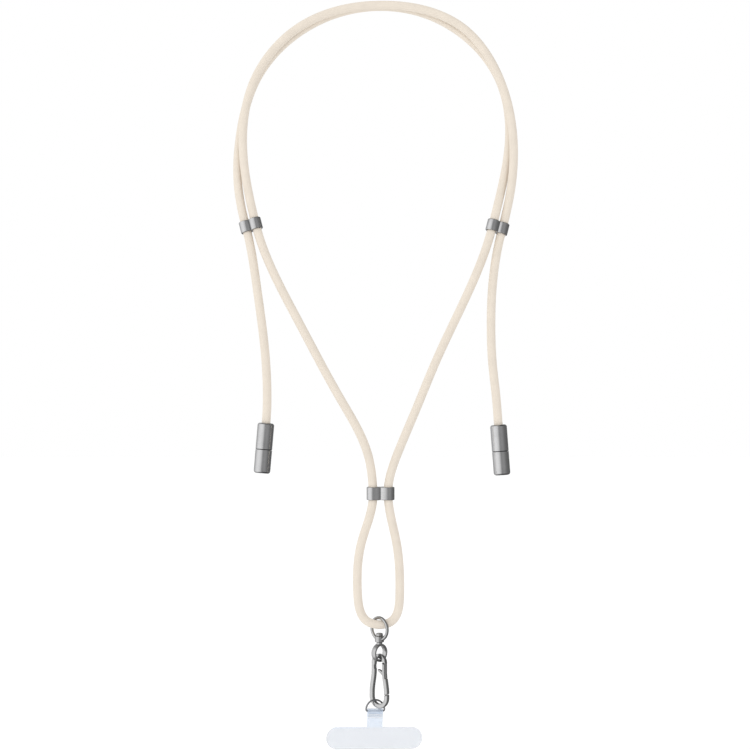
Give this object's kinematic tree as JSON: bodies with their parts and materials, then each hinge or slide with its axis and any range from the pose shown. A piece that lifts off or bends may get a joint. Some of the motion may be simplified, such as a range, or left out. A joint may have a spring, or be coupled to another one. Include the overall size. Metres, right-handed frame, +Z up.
{
  "type": "charging cable lanyard",
  "caption": "Round textile-covered charging cable worn round the neck, with double-bore metal sliders, capped metal plugs, a swivel hook with sprung gate and a film phone tab.",
  "frame": {"origin": "the underside of the two cable strands at the top of the neck loop, halfway between the strands, where they rest on the nape", "axes": "+Z up, +X to the right as seen from the front, -Y towards the wearer's front"},
  "size_m": [0.1826, 0.0528, 0.4818],
  "materials": {
    "textile": "matte, fine woven cream sleeve",
    "gunmetal": "satin dark nickel",
    "plug_steel": "bright satin",
    "film": "frosted translucent film"
  },
  "bodies": {
    "lanyard": {"charging_cable": "textile", "slider_left": "gunmetal", "slider_right": "gunmetal", "slider_center": "gunmetal", "plug_housing_left": "gunmetal", "plug_housing_right": "gunmetal", "usb_plug_left": "plug_steel", "usb_plug_right": "plug_steel"},
    "cap_left": {"plug_cap_left": "gunmetal"},
    "cap_right": {"plug_cap_right": "gunmetal"},
    "upper_eye": {"swivel_upper_eye": "gunmetal"},
    "lower_eye": {"swivel_lower_eye": "gunmetal"},
    "carabiner": {"carabiner_body": "gunmetal", "tab_ring": "gunmetal", "phone_tab": "film"},
    "gate": {"carabiner_gate": "gunmetal"}
  },
  "joints": [
    {"name": "cap_left_pull", "type": "slide", "parent": "lanyard", "child": "cap_left", "axis": [-0.0797, -0.0645, -0.9947], "range_m": [0, 0.01]},
    {"name": "cap_right_pull", "type": "slide", "parent": "lanyard", "child": "cap_right", "axis": [0.0716, -0.0483, -0.9963], "range_m": [0, 0.01]},
    {"name": "hook_swing", "type": "hinge", "parent": "lanyard", "child": "upper_eye", "pos_m": [0.0008, -0.04, -0.39668], "axis": [1, 0, 0], "range_deg": [-30, 30]},
    {"name": "swivel_spin", "type": "hinge", "parent": "upper_eye", "child": "lower_eye", "pos_m": [0.0008, -0.04, -0.406], "axis": [0, 0, 1], "continuous": true},
    {"name": "carabiner_swing", "type": "hinge", "parent": "lower_eye", "child": "carabiner", "pos_m": [0.0008, -0.04, -0.42044], "axis": [0.6157, 0.788, 0], "range_deg": [-25, 25]},
    {"name": "gate_open", "type": "hinge", "parent": "carabiner", "child": "gate", "pos_m": [0.00389, -0.04241, -0.41924], "axis": [0.6157, 0.788, 0], "range_deg": [0, 18], "stiffness_Nm_per_rad": 0.01, "springref_deg": -11.46}
  ]
}
